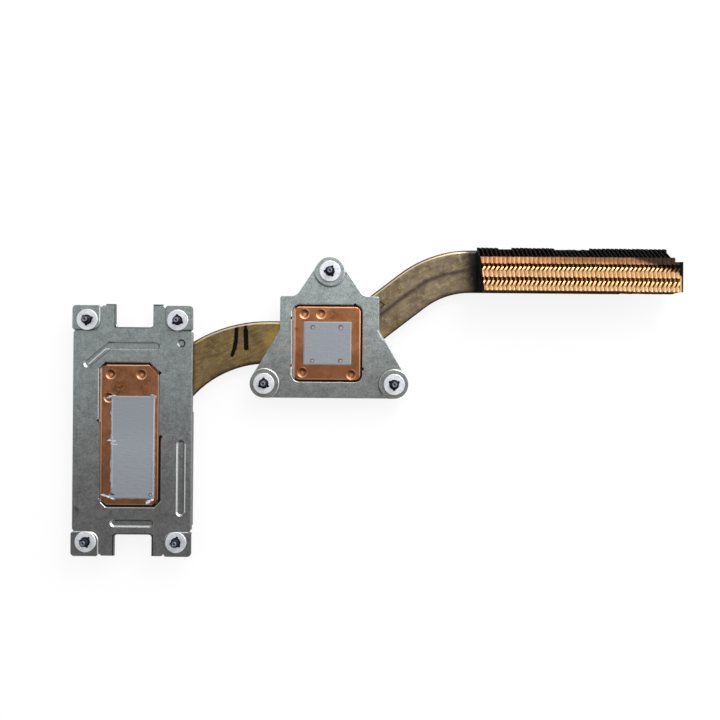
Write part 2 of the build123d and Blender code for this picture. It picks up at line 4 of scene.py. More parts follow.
import bmesh
import bpy
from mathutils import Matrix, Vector, noise


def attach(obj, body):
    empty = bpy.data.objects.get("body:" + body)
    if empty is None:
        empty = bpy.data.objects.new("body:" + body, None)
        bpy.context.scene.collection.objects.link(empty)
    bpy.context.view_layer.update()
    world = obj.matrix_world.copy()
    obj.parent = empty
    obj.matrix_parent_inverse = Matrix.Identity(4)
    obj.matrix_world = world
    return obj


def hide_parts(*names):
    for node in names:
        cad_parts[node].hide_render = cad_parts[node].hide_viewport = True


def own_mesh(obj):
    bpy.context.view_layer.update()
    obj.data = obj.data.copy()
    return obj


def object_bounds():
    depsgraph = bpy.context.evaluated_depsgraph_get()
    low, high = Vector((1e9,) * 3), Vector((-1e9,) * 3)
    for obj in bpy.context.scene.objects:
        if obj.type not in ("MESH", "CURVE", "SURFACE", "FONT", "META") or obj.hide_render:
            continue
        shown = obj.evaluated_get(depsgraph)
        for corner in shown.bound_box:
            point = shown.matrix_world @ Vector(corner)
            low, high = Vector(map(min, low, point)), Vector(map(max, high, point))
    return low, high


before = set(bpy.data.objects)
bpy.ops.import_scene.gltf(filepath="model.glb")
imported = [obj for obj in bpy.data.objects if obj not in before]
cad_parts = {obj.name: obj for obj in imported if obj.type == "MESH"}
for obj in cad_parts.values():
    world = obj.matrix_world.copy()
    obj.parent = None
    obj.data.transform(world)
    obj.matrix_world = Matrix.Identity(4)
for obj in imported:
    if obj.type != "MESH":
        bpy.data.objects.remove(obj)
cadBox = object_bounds()
bpy.ops.object.select_all(action="DESELECT")
print("frame loaded,", len(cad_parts), "nodes")

# Levels of the real piece in millimetres, shared by several pieces below
levels = {"copperFace": -0.12, "pipeNear": -1.6, "headTop": -4.3, "headBottom": -5.5}
millimetre = 0.001

# Vector noise takes its start from the clock unless it is given one
noise.seed_set(7)


# Working by hand: sizes are in millimetres from here on, until a piece is settled

def choose(piece):
    if bpy.context.object and bpy.context.object.mode != "OBJECT":
        bpy.ops.object.mode_set(mode="OBJECT")
    bpy.ops.object.select_all(action="DESELECT")
    piece.select_set(True)
    bpy.context.view_layer.objects.active = piece
    return piece


# Sizes a primitive that was just added, and fixes its place in its mesh
def sized(scale=(1, 1, 1)):
    piece = bpy.context.object
    piece.scale = scale
    bpy.ops.object.transform_apply(location=True, rotation=True, scale=True)
    return piece


def openForEdit(piece):
    choose(piece)
    bpy.ops.object.mode_set(mode="EDIT")


def pick(kind, test):
    mesh = bmesh.from_edit_mesh(bpy.context.object.data)
    bpy.ops.mesh.select_mode(type=kind)
    bpy.ops.mesh.select_all(action="DESELECT")
    for part in {"VERT": mesh.verts, "EDGE": mesh.edges, "FACE": mesh.faces}[kind]:
        part.select_set(test(part))
    mesh.select_flush_mode()
    bmesh.update_edit_mesh(bpy.context.object.data)


# Turns every face of a closed shell outwards. On a thin slab the operator alone can choose wrongly
def faceOutwards(piece):
    openForEdit(piece)
    bpy.ops.mesh.select_all(action="SELECT")
    bpy.ops.mesh.normals_make_consistent(inside=False)
    if bmesh.from_edit_mesh(piece.data).calc_volume(signed=True) < 0:
        bpy.ops.mesh.flip_normals()
    bpy.ops.object.mode_set(mode="OBJECT")


def reshape(piece, move):
    for corner in piece.data.vertices:
        corner.co = move(corner.co.copy())


def modify(piece, kind, **settings):
    choose(piece)
    added = piece.modifiers.new(kind.title(), kind)
    for name, value in settings.items():
        setattr(added, name, value)
    bpy.ops.object.modifier_apply(modifier=added.name)
    return piece


def join(pieces):
    choose(pieces[0])
    for piece in pieces[1:]:
        piece.select_set(True)
    bpy.ops.object.join()
    return pieces[0]


def copyOf(piece, place=(0, 0, 0), turn=0.0):
    made = piece.copy()
    made.data = piece.data.copy()
    bpy.context.scene.collection.objects.link(made)
    made.location = place
    made.rotation_euler = (0, 0, math.radians(turn))
    choose(made)
    bpy.ops.object.transform_apply(location=True, rotation=True, scale=True)
    return made


# Names a finished piece, shrinks it from millimetres to metres and gives it to its body
def settle(piece, name, body, finish, replaced=(), smooth=35):
    choose(piece)
    bpy.ops.object.transform_apply(location=True, rotation=True, scale=True)
    piece.scale = [millimetre] * 3
    bpy.ops.object.transform_apply(location=False, rotation=False, scale=True)
    bpy.ops.object.shade_smooth_by_angle(angle=math.radians(smooth))
    piece.name = piece.data.name = name
    piece.data.materials.clear()
    piece.data.materials.append(finish)
    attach(piece, body)
    if replaced:
        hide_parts(*replaced)
    return piece


# A turned piece: a disc drawn up through (radius, height) stations
def turned(stations, sides=48):
    radius, height = stations[0]
    bpy.ops.mesh.primitive_circle_add(vertices=sides, radius=radius, fill_type="NGON",
                                      location=(0, 0, height))
    piece = bpy.context.object
    bpy.ops.object.transform_apply(location=True)
    openForEdit(piece)
    bpy.ops.mesh.select_all(action="SELECT")
    for nextRadius, nextHeight in stations[1:]:
        bpy.ops.mesh.extrude_region_move(
            TRANSFORM_OT_translate={"value": (0, 0, nextHeight - height)})
        scale = nextRadius / radius
        bpy.ops.transform.resize(value=(scale, scale, 1), center_override=(0, 0, nextHeight))
        radius, height = nextRadius, nextHeight
    faceOutwards(piece)
    return piece


# Shader maths: a wire is a socket, and sums of wires add their Math nodes

class Wire:
    def __init__(self, tree, socket=None):
        self.tree = tree
        self.socket = socket

    def node(self, kind, settings=None, inputs=None, output=0):
        made = self.tree.nodes.new(kind)
        for name, value in (settings or {}).items():
            setattr(made, name, value)
        for name, value in (inputs or {}).items():
            if isinstance(value, Wire):
                self.tree.links.new(value.socket, made.inputs[name])
            elif made.inputs[name].type == "RGBA":
                made.inputs[name].default_value = (*value[:3], 1)
            else:
                made.inputs[name].default_value = value
        return Wire(self.tree, made.outputs[output])

    def maths(self, operation, *values):
        return self.node("ShaderNodeMath", {"operation": operation}, dict(enumerate(values)))

    def __add__(self, other):
        return self.maths("ADD", self, other)

    def __sub__(self, other):
        return self.maths("SUBTRACT", self, other)

    def __rsub__(self, other):
        return self.maths("SUBTRACT", other, self)

    def __mul__(self, other):
        return self.maths("MULTIPLY", self, other)

    def __truediv__(self, other):
        return self.maths("DIVIDE", self, other)

    def __pow__(self, power):
        return self.maths("POWER", self, power)

    def __abs__(self):
        return self.maths("ABSOLUTE", self)

    __radd__ = __add__
    __rmul__ = __mul__

    def least(self, other):
        return self.maths("MINIMUM", self, other)

    def most(self, other):
        return self.maths("MAXIMUM", self, other)

    # 0 before start and 1 after end, or the other way round where start is the larger
    def fade(self, start, end):
        if start > end:
            return 1 - self.fade(end, start)
        return self.node("ShaderNodeMapRange", {"interpolation_type": "SMOOTHSTEP"},
                         {0: self, 1: start, 2: end, 3: 0.0, 4: 1.0})

    # this mask lays the second colour over the first
    def blend(self, under, over):
        return self.node("ShaderNodeMix", {"data_type": "RGBA"}, {0: self, 6: under, 7: over}, 2)

    def noise(self, scale, detail=2.0, roughness=0.5, distortion=0.0):
        return self.node("ShaderNodeTexNoise", {}, {
            "Vector": self, "Scale": scale, "Detail": detail, "Roughness": roughness,
            "Distortion": distortion})

    def stretched(self, x, y, z):
        return self.node("ShaderNodeVectorMath", {"operation": "MULTIPLY"}, {0: self, 1: (x, y, z)})

    def axes(self):
        return [self.node("ShaderNodeSeparateXYZ", {}, {0: self}, k) for k in range(3)]


def spot(x, y, centre, radius, soft):
    reach = ((x - centre[0]) ** 2 + (y - centre[1]) ** 2) ** 0.5
    return reach.fade(radius + soft, radius - soft)


def stroke(x, y, start, end, width, soft):
    runX, runY = end[0] - start[0], end[1] - start[1]
    along = ((x - start[0]) * runX + (y - start[1]) * runY) / (runX ** 2 + runY ** 2)
    along = along.most(0.0).least(1.0)
    offX = x - start[0] - along * runX
    offY = y - start[1] - along * runY
    return ((offX ** 2 + offY ** 2) ** 0.5).fade(width / 2 + soft, width / 2 - soft)


# Distance outside a rectangle, below zero inside it
def outside(x, y, centre, size):
    return (abs(x - centre[0]) - size[0] / 2).most(abs(y - centre[1]) - size[1] / 2)


def shade(colour, share):
    return [value * share for value in colour]


def newFinish(name):
    made = bpy.data.materials.new(name)
    made.use_nodes = True
    start = Wire(made.node_tree)
    place = start.node("ShaderNodeTexCoord", output="Object")
    place = place.node("ShaderNodeVectorMath", {"operation": "SCALE"}, {0: place, 3: 1 / millimetre})
    facing = start.node("ShaderNodeNewGeometry", output="Normal").axes()[2]
    return made, place, facing


def setFinish(made, relief=None, depth=0.01, **sockets):
    shader = made.node_tree.nodes["Principled BSDF"]
    for name, value in sockets.items():
        name = {"colour": "Base Color", "roughness": "Roughness", "metallic": "Metallic",
                "specular": "Specular IOR Level"}[name]
        if isinstance(value, Wire):
            made.node_tree.links.new(value.socket, shader.inputs[name])
        elif isinstance(value, tuple):
            shader.inputs[name].default_value = (*value, 1)
        else:
            shader.inputs[name].default_value = value
    if relief is not None:
        bump = relief.node("ShaderNodeBump", {}, {"Distance": depth * millimetre, "Height": relief})
        made.node_tree.links.new(bump.socket, shader.inputs["Normal"])
    return made


# The photograph's view

cameraAt = {"place": (60.5, 19.38, 250.0), "roll": 0.5, "lens": 47.0, "sensor": 36.0, "near": 0.01}
bpy.ops.object.camera_add(location=shade(cameraAt["place"], millimetre),
                          rotation=(0, 0, math.radians(cameraAt["roll"])))
camera = bpy.context.object
camera.data.lens = cameraAt["lens"]
camera.data.sensor_width = cameraAt["sensor"]
camera.data.clip_start = cameraAt["near"]
bpy.context.scene.camera = camera
bpy.context.scene.view_settings.view_transform = "Standard"

# The room is dim on one side and bright towards the exhaust side, with a low window there
studio = {"middle": (0.06, 0.02), "dark": 0.12, "bright": 1.38, "turn": (-0.8, 0.8),
          "towards": (0.66, 0.75), "window": 3.6, "windowAcross": (0.55, 0.8),
          "windowHeight": (0.6, 0.35), "floor": (0.86, 0.86, 0.86), "floorSize": 1.6,
          "floorGap": 0.00002, "keep": 0.14}
lamps = {
    "keyLamp": {"place": (190, 260, 250), "size": 0.16, "watts": 0.75},
    "sideLamp": {"place": (-260, 40, 300), "size": 0.3, "watts": 0.2},
}
for name, lamp in lamps.items():
    lampPlace = Vector(lamp["place"]) * millimetre
    aim = (Vector((*studio["middle"], 0)) - lampPlace).to_track_quat("-Z", "Y").to_euler()
    bpy.ops.object.light_add(type="AREA", location=lampPlace, rotation=aim)
    bpy.context.object.name = name
    bpy.context.object.data.size = lamp["size"]
    bpy.context.object.data.energy = lamp["watts"]

world = bpy.data.worlds.new("studio")
bpy.context.scene.world = world
world.use_nodes = True
room = Wire(world.node_tree)
seen = room.node("ShaderNodeLightPath", output="Is Camera Ray").most(
    room.node("ShaderNodeLightPath", output="Is Transmission Ray"))
aimX, aimY, aimZ = room.node("ShaderNodeTexCoord").axes()
towards = aimX * studio["towards"][0] + aimY * studio["towards"][1]
strength = studio["dark"] + towards.fade(*studio["turn"]) * (studio["bright"] - studio["dark"])
window = towards.fade(*studio["windowAcross"]) * aimZ.fade(*studio["windowHeight"])
strength = strength + window * studio["window"]
strength = strength * (1 - seen) + seen
background = world.node_tree.nodes["Background"]
background.inputs["Color"].default_value = (1, 1, 1, 1)
world.node_tree.links.new(strength.socket, background.inputs["Strength"])

# Floor: white to the eye with a little of the real shadow kept, and clear from below
bpy.ops.mesh.primitive_plane_add(size=studio["floorSize"],
                                 location=(*studio["middle"], cadBox[0][2] - studio["floorGap"]))
floor = bpy.context.object
bpy.ops.object.transform_apply(location=True)
floor.name = "floor"
floorFinish, floorPlace, _ = newFinish("floorPaper")
setFinish(floorFinish, colour=studio["floor"], roughness=0.9)
floorTree = floorFinish.node_tree
paper = Wire(floorTree, floorTree.nodes["Principled BSDF"].outputs["BSDF"])
glow = floorPlace.node("ShaderNodeEmission", {}, {"Color": (1, 1, 1), "Strength": 1.0})
direct = floorPlace.node("ShaderNodeLightPath", output="Is Camera Ray")
whiter = direct * (1 - studio["keep"])
blended = floorPlace.node("ShaderNodeMixShader", {}, {0: whiter, 1: paper, 2: glow})
under = floorPlace.node("ShaderNodeNewGeometry", output="Backfacing")
clear = floorPlace.node("ShaderNodeBsdfTransparent")
blended = floorPlace.node("ShaderNodeMixShader", {}, {0: under, 1: blended, 2: clear})
floorTree.links.new(blended.socket, floorTree.nodes["Material Output"].inputs["Surface"])
floor.data.materials.append(floorFinish)
print("view, lamps and floor set")


# Finishes

# Grainy zinc-coated sheet with scuffs and dust, with painted shade (darker bottom, bent edges, walls)
# and painted highlights on its rims
plateLook = {"light": 1.4, "dark": 0.6, "dust": 2.0, "scuff": (0.09, 0.095, 0.1),
             "shadedEdges": (0.02, 0.021, 0.022), "paintedHighlights": (0.92, 0.94, 0.94),
             "wall": (0.09, 0.094, 0.094), "wallDepth": (-0.35, -0.75), "rolled": (0.48, 0.495, 0.495),
             "front": (-0.3, 0.1)}


def plateFinish(name, top, bottom, reach, smudges, shadedEdges=(), paintedHighlights=(), shadedStretches=()):
    made, place, facing = newFinish(name)
    x, y, z = place.axes()
    grain = place.noise(4.2, 3.0, 0.65)
    mottle = place.noise(0.33, 4.0, 0.6)
    blotch = place.noise(1.3, 2.0, 0.5)
    tone = (grain * 0.64 + mottle * 0.18 + blotch * 0.18).fade(0.32, 0.68)
    # painted shade: the colour runs from the lighter top colour down to the darker bottom one
    shadeFalloff = (y + mottle * 8 - 4).fade(*reach)
    lighter = shadeFalloff.blend(shade(top, plateLook["light"]), shade(bottom, plateLook["light"]))
    darker = shadeFalloff.blend(shade(top, plateLook["dark"]), shade(bottom, plateLook["dark"]))
    colour = tone.blend(darker, lighter)
    dust = place.noise(2.4, 5.0, 0.75).fade(0.62, 0.72)
    colour = (dust * 0.5).blend(colour, shade(top, plateLook["dust"]))
    for centre, radius, soft, strength in smudges:
        rough = place.noise(1.8, 3.0) * 0.9 + 0.55
        smudge = spot(x, y, centre, radius, soft) * rough * strength
        colour = smudge.blend(colour, plateLook["scuff"])
    front = facing.fade(*plateLook["front"])
    # painted shade: dark bands along the notches, tabs and other bent edges
    for start, end, width in shadedEdges:
        band = stroke(x, y, start, end, width, 0.12) * (0.6 + grain * 0.6).least(1.0) * front
        colour = (band * 0.9).blend(colour, plateLook["shadedEdges"])
    # painted highlights: near-white lines along the rims that catch the light
    for start, end, width in paintedHighlights:
        band = stroke(x, y, start, end, width, 0.1) * (0.45 + grain * 0.9).least(1.0) * front
        colour = band.blend(colour, plateLook["paintedHighlights"])
    # painted shade on the steep walls below the front face
    wallShade = facing.fade(0.3, 0.05) * z.fade(*plateLook["wallDepth"])
    colour = (wallShade * 0.7).blend(colour, plateLook["wall"])
    # painted highlight: rounded edges are painted lighter, apart from the stretches held in painted
    # shade
    rolled = facing.fade(0.985, 0.9) * facing.fade(0.1, 0.3)
    stretchShade = 0.0
    for start, end, width in shadedStretches:
        stretchShade = stroke(x, y, start, end, width, 0.2) + stretchShade
    colour = (rolled * (0.85 - stretchShade * 0.7)).blend(colour, plateLook["rolled"])
    # painted shade on those stretches
    if shadedStretches:
        colour = (stretchShade * rolled * 0.6).blend(colour, shade(top, 0.5))
    roughness = (0.36 + tone * 0.16 + dust * 0.15) * (1 - rolled * 0.5)
    return setFinish(made, colour=colour, roughness=roughness, metallic=1.0,
                     relief=grain + blotch * 0.6, depth=0.02)


# Machined copper that has browned, with fine brush lines, stains and painted highlights on its rims
copperLook = {"ring": 1.42, "bowl": 1.05, "pit": 0.36, "pitShift": (0.08, -0.12),
              "shadow": (0.02, 0.015, 0.011), "litWall": (0.6, 0.52, 0.46), "front": (-0.3, 0.1)}


def copperFinish(name, dark, light, bright, brown, block, dimples, stains):
    made, place, facing = newFinish(name)
    x, y, z = place.axes()
    brush = place.stretched(1.0, 0.12, 1.0).noise(7.0, 3.0, 0.6)
    cloud = place.noise(0.28, 3.0, 0.55, 0.4)
    fleck = place.noise(2.2, 4.0, 0.7)
    tone = brush * 0.3 + cloud * 0.5 + fleck * 0.2
    colour = tone.fade(0.32, 0.68).blend(dark, light)
    colour = (fleck.fade(0.56, 0.7) * 0.45).blend(colour, brown)
    edge = outside(x, y, block["centre"], block["size"])
    # painted highlight along the block's rims, stronger towards the top
    rimHighlight = edge.fade(-0.42, -0.12) * z.fade(-0.6, -0.25)
    colour = (rimHighlight * (0.65 + y.fade(12, 17) * 0.3)).blend(colour, bright)
    front = facing.fade(*copperLook["front"])
    bowl = copperLook["bowl"]
    # painted light in each dimple: a highlight on the lower side of its rim, shade in the upper half of
    # its bowl and a glint near its floor
    for centre in dimples:
        ring = spot(x, y, centre, copperLook["ring"], 0.12) * (1 - spot(x, y, centre, bowl, 0.15))
        low = (y - centre[1]).fade(0.5, -0.9)
        colour = (ring * front * low * 0.8).blend(colour, bright)
        high = (y - centre[1] + (x - centre[0]) * 0.3).fade(0.1, 1.0)
        colour = (spot(x, y, centre, bowl, 0.2) * high * front * 0.6).blend(colour, brown)
        pit = (centre[0] + copperLook["pitShift"][0], centre[1] + copperLook["pitShift"][1])
        colour = (spot(x, y, pit, copperLook["pit"], 0.22) * front * 0.6).blend(colour, bright)
    for centre, radius, strength in stains:
        patchy = place.noise(1.5, 4.0, 0.7).fade(0.35, 0.65)
        colour = (spot(x, y, centre, radius, radius * 0.6) * patchy * strength).blend(colour, brown)
    # painted shade: the block is darker towards the bottom
    colour = (y.fade(*block["shadeFalloff"]) * 0.45).blend(colour, block["deep"])
    # the gap round the block is dark, apart from the wall on its left that the light reaches
    left = x - (block["centre"][0] - block["size"][0] / 2)
    lit = left.fade(0.25, -0.05) * left.fade(-0.8, -0.62)
    gap = lit.blend(copperLook["shadow"], copperLook["litWall"])
    colour = (z.fade(-0.7, -0.95) * edge.fade(-0.4, -0.1) * front * 0.95).blend(colour, gap)
    roughness = 0.3 + fleck * 0.22 + cloud * 0.1
    return setFinish(made, colour=colour, roughness=roughness, metallic=1.0,
                     relief=brush * 0.5 + fleck, depth=0.012)


# The two prints of thermal paste: place, size, ragged edge and lip, with the dents, nicks and lumps
cpuPaste = {"centre": (0.25, -4.4), "size": (11.6, 27.3), "ragged": 0.16, "lip": 0.02,
            "dents": (), "nicks": (((-5.85, -2.3), 0.6), ((6.2, 9.3), 0.7), ((-5.3, -17.0), 0.55)),
            "lumps": (((-5.7, -2.5), (1.0, 0.3), 12), ((-4.7, -3.2), (0.85, 0.22), -8),
                      ((-5.3, -1.8), (0.35, 0.8), 10), ((-7.2, -17.2), (0.95, 0.28), -14),
                      ((-5.9, -17.5), (0.8, 0.33), 12), ((-5.0, -18.1), (0.5, 0.3), 0),
                      ((4.3, -19.0), (0.8, 0.5), 35), ((5.4, -18.3), (0.5, 0.42), 0),
                      ((-6.1, 8.9), (0.95, 0.3), 22), ((-4.9, 9.3), (0.6, 0.22), 8),
                      ((5.2, 9.5), (0.6, 0.3), -12), ((-5.55, 4.0), (0.16, 1.6), 1),
                      ((-5.6, -8.0), (0.15, 1.9), -1), ((-5.55, -12.5), (0.18, 1.5), 2))}
gpuPaste = {"centre": (51.8, 23.75), "size": (12.7, 11.5), "ragged": 0.04, "lip": 0.012,
            "dents": ((47.89, 27.97), (55.38, 27.98), (47.83, 19.06), (55.31, 19.12)),
            "nicks": (), "lumps": ()}

# Round tool marks in the paste: centre and radius
pasteMarks = (((47.89, 27.97), 0.62), ((55.38, 27.98), 0.68), ((47.83, 19.06), 0.6),
              ((55.31, 19.12), 0.66), ((5.1, -17.0), 0.55), ((-5.3, -16.8), 0.4))

# Drag marks in it: start, end, width and colour, pale ridges first and then the dark shadows
pasteSmears = (((-7.6, -2.5), (-4.3, -2.7), 0.3, (0.5, 0.5, 0.54)),
               ((-5.6, -3.4), (-4.0, -3.7), 0.28, (0.52, 0.53, 0.57)),
               ((-6.4, 9.0), (-4.6, 9.5), 0.3, (0.5, 0.5, 0.53)),
               ((-8.6, -17.1), (-5.2, -18.0), 0.6, (0.72, 0.71, 0.72)),
               ((-5.4, -18.2), (3.6, -18.7), 0.22, (0.4, 0.42, 0.45)),
               ((3.8, -19.3), (5.9, -18.2), 0.5, (0.62, 0.63, 0.67)),
               ((5.85, 8.8), (5.6, -17.0), 0.2, (0.38, 0.4, 0.43)),
               ((-5.25, 8.4), (-5.2, -15.0), 0.2, (0.4, 0.42, 0.45)),
               ((-5.6, -16.8), (-4.7, -17.0), 0.42, (0.015, 0.012, 0.01)),
               ((-5.5, -4.6), (-5.45, -7.6), 0.14, (0.1, 0.1, 0.11)),
               ((5.5, -8.0), (5.55, -16.0), 0.12, (0.1, 0.1, 0.11)))
pasteLook = {"dark": ((0.205, 0.222, 0.245), (0.165, 0.18, 0.2)),
             "light": ((0.262, 0.282, 0.305), (0.225, 0.243, 0.265)),
             "ring": (0.035, 0.03, 0.027), "pit": (0.42, 0.35, 0.32), "stain": (0.3, 0.22, 0.17)}


def pasteFinish():
    made, place, _ = newFinish("thermalPaste")
    x, y, _ = place.axes()
    # the processor's print is dragged across, and the graphics chip's lengthwise
    onGraphics = x.fade(20, 30)
    across = place.stretched(0.25, 1.6, 1.0).noise(2.2, 3.0, 0.6) * y.fade(4, -6)
    along = place.stretched(1.6, 0.12, 1.0).noise(2.0, 3.0, 0.6)
    drag = across * (1 - onGraphics) + along * onGraphics * 0.6
    speck = place.noise(9.0, 2.0, 0.6)
    # painted shade: the print is darker towards the bottom
    low = y.fade(3, -18)
    tone = (drag * 0.6 + speck * 0.4).fade(0.1, 0.7)
    colour = tone.blend(low.blend(*pasteLook["dark"]), low.blend(*pasteLook["light"]))
    for centre, radius in pasteMarks:
        ring = spot(x, y, centre, radius, 0.14) * (1 - spot(x, y, centre, radius * 0.45, 0.12))
        broken = (x * 0.6 - y * 0.2 + place.noise(1.6, 3.0, 0.6) * 2.2 - centre[0] * 0.6
                  + centre[1] * 0.2).fade(1.5, 0.7)
        colour = (ring * (0.3 + broken * 0.65)).blend(colour, pasteLook["ring"])
        colour = (spot(x, y, centre, radius * 0.45, 0.16) * 0.6).blend(colour, pasteLook["pit"])
    for start, end, width, tone in pasteSmears:
        wavy = y + place.noise(1.1, 2.0) * 0.5 - 0.25
        mark = stroke(x, wavy, start, end, width, width * 0.35)
        colour = (mark * 0.9).blend(colour, tone)
    besidePrint = abs(x - cpuPaste["centre"][0]).fade(5.0, 5.7) * x.fade(12, 10)
    stain = place.noise(0.9, 4.0, 0.7).fade(0.62, 0.72) * besidePrint
    colour = (stain * 0.5).blend(colour, pasteLook["stain"])
    return setFinish(made, colour=colour, roughness=0.42 + speck * 0.25, metallic=0.25,
                     relief=drag * 0.7 + speck * 0.3, depth=0.03)


# Olive-brown oxidised copper tube, with mottling, flux stains, ink strokes and overspray
pipeLook = {
    "strokes": (((27.45, 28.7), (27.25, 24.2), 1.05), ((27.25, 24.2), (26.9, 22.3), 1.15),
                ((26.9, 22.3), (26.3, 20.4), 1.0), ((29.7, 29.4), (29.85, 27.0), 0.85),
                ((29.85, 27.0), (30.05, 22.3), 1.25)),
    "crease": ((65.69, 31.36), (72.42, 36.78), (78.0, 40.57), (82.7, 42.49), (88.0, 43.46)),
    "hookMark": ((65.75, 35.0), (66.85, 34.25), (65.95, 33.35)),
    "fluxStains": (((38.5, 24.5), 3.2), ((66.2, 23.8), 3.2), ((17.0, 26.0), 2.0),
                   ((40.2, 27.4), 2.2)),
    "dark": ((0.085, 0.05, 0.014), (0.105, 0.075, 0.042)),
    "light": ((0.235, 0.165, 0.065), (0.26, 0.205, 0.125)),
    "patch": (0.4, 0.33, 0.2), "fleck": (0.4, 0.34, 0.22), "purple": (0.115, 0.083, 0.073),
    "flux": (0.42, 0.27, 0.05), "band": (0.07, 0.048, 0.04), "line": (0.03, 0.02, 0.016),
    "ink": (0.004, 0.0035, 0.0035), "hook": (0.03, 0.02, 0.01), "shoulder": (0.6, 0.52, 0.34),
    "side": (0.022, 0.016, 0.009), "spray": (0.012, 0.011, 0.011), "sprayEdge": (88.6, 92.4),
    "farHalf": (45, 80), "front": (-2.4, -2.0), "finY": 43.35, "lie": (0.86, 0.5),
}


def pipeFinish():
    made, place, facing = newFinish("oxidisedPipe")
    x, y, z = place.axes()
    sideways = place.node("ShaderNodeNewGeometry", output="Normal").axes()[1]
    front = z.fade(*pipeLook["front"])
    cloud = place.noise(0.22, 4.0, 0.62, 0.6)
    patch = place.noise(0.9, 5.0, 0.7, 0.3)
    grain = place.noise(5.0, 3.0, 0.6)
    # rubbing streaks follow the tube, which rises by about a third of a right angle here
    alongTube = x * pipeLook["lie"][0] + y * pipeLook["lie"][1]
    acrossTube = y * pipeLook["lie"][0] - x * pipeLook["lie"][1]
    drawn = place.node("ShaderNodeCombineXYZ", {}, {0: alongTube * 0.22, 1: acrossTube * 1.7})
    streak = drawn.noise(1.0, 4.0, 0.7)
    tone = (cloud * 0.3 + grain * 0.25 + patch * 0.1 + streak * 0.35).fade(0.36, 0.64)
    away = (x + cloud * 30 - 15).fade(*pipeLook["farHalf"])
    colour = tone.blend(away.blend(*pipeLook["dark"]), away.blend(*pipeLook["light"]))
    colour = (patch.fade(0.5, 0.7) * (0.2 + away * 0.35)).blend(colour, pipeLook["patch"])
    fleck = place.noise(3.2, 4.0, 0.75).fade(0.62, 0.72)
    colour = (fleck * (0.3 + away * 0.2)).blend(colour, pipeLook["fleck"])
    purple = place.noise(0.35, 3.0, 0.5, 0.8).fade(0.5, 0.66)
    colour = (purple * (0.25 + away * 0.35)).blend(colour, pipeLook["purple"])
    for centre, radius in pipeLook["fluxStains"]:
        stain = spot(x + patch * 2.4 - 1.2, y + cloud * 2.4 - 1.2, centre, radius, radius * 0.6)
        colour = (stain * front * 0.55).blend(colour, pipeLook["flux"])
    # painted shade along the crease: a broad dark band with a darker line in its fold
    for start, end in zip(pipeLook["crease"], pipeLook["crease"][1:]):
        band = stroke(x, y + grain * 0.8 - 0.4, start, end, 1.3, 0.6)
        colour = (band * 0.6 * front).blend(colour, pipeLook["band"])
        line = stroke(x, y + grain * 0.3 - 0.15, start, end, 0.5, 0.4)
        colour = (line * 0.7 * front).blend(colour, pipeLook["line"])
    inked = front * 0
    for start, end, width in pipeLook["strokes"]:
        inked = inked.most(stroke(x + grain * 0.5 - 0.25, y, start, end, width, 0.1) * front)
    colour = (inked * 0.97).blend(colour, pipeLook["ink"])
    for start, end in zip(pipeLook["hookMark"], pipeLook["hookMark"][1:]):
        hook = stroke(x, y, start, end, 0.42, 0.12) * front * 0.85
        colour = hook.blend(colour, pipeLook["hook"])
    # painted highlight: a light line on the shoulder towards the window; painted shade: a dark outline
    # on the rounded sides
    shoulder = facing.fade(0.992, 0.95) * facing.fade(0.72, 0.86) * sideways.fade(0.0, 0.3)
    colour = (shoulder * 0.8).blend(colour, pipeLook["shoulder"])
    side = abs(facing).fade(0.86, 0.64)
    colour = (side * 0.94).blend(colour, pipeLook["side"])
    wobble = place.noise(0.8, 4.0, 0.6) * 3.0
    spray = ((x + wobble) + (y - pipeLook["finY"]) * 0.22).fade(*pipeLook["sprayEdge"]) * front
    colour = (spray * 0.93).blend(colour, pipeLook["spray"])
    roughness = (0.3 + grain * 0.16 + patch * 0.16) * (1 - shoulder * 0.4)
    return setFinish(made, colour=colour, roughness=roughness, metallic=inked.most(side) * 0.2 + 0.8,
                     relief=grain * 0.6 + patch, depth=0.018)


# The fins' sizes, the steps that fold their edges over, and the fins that end early
fin = {"count": 46, "pitch": 1.153, "firstX": 91.45, "sheet": 0.2, "lowY": 37.68, "farY": 49.74,
       "nearY": 46.69, "height": 7.4, "bend": 0.3, "neckLean": 0.85, "shortBy": 0.5,
       "hookFold": ((0.1, 0, 0.2), (0.2, 0, 0.1), (0.24, 0, 0), (0.28, 0, 0), (0.24, 0, 0)),
       "footFold": ((0.1, 0, -0.2), (0.2, 0, -0.1), (0.4, 0, 0), (0.42, 0, 0)),
       "neckFrom": 0.42, "neckTo": 0.95, "unevenY": 0.04, "unevenLean": 0.035,
       "shortFins": (5, 6, 7, 18, 19, 20, 21, 22, 23, 24, 25), "endFins": (44,), "endY": 45.59}
# Rows of hooks along the fin: low end, foot of the slanted neck and high end of each
finRows = ((37.68, 38.95, 40.34), (41.22, 42.9, 43.94), (44.72, 60.0, 60.0))

# Bright copper fins with painted highlights on the hook rows and painted shade in their hollows, sprayed
# black on the sloped exhaust side with a drifting edge
finLook = {
    "dark": (0.46, 0.185, 0.075), "light": (0.86, 0.45, 0.2), "pale": (0.98, 0.62, 0.27),
    "tiltHighlight": (1.0, 0.77, 0.4), "valley": (0.3, 0.12, 0.045), "inner": (0.24, 0.1, 0.035),
    "paint": (0.005, 0.005, 0.006), "front": (4.9, 5.2), "hookRows": (44.5, 44.1),
    "lowRow": (40.6, 41.2), "innerDepth": (4.2, 1.6), "slopeRise": 0.412, "slopeEdge": (-3.7, -2.3),
    "drift": (85.3, 87.0), "hazeAlong": (102.0, 116.0), "hazeAcross": (44.5, 46.4),
    "farEnd": (143.35, 143.6), "nearEnd": (91.75, 91.55), "lowEdge": (37.98, 37.82),
    "tubeEnd": (131.0, 129.0), "underside": (38.0, 37.8), "throat": (5.4, 5.1),
}


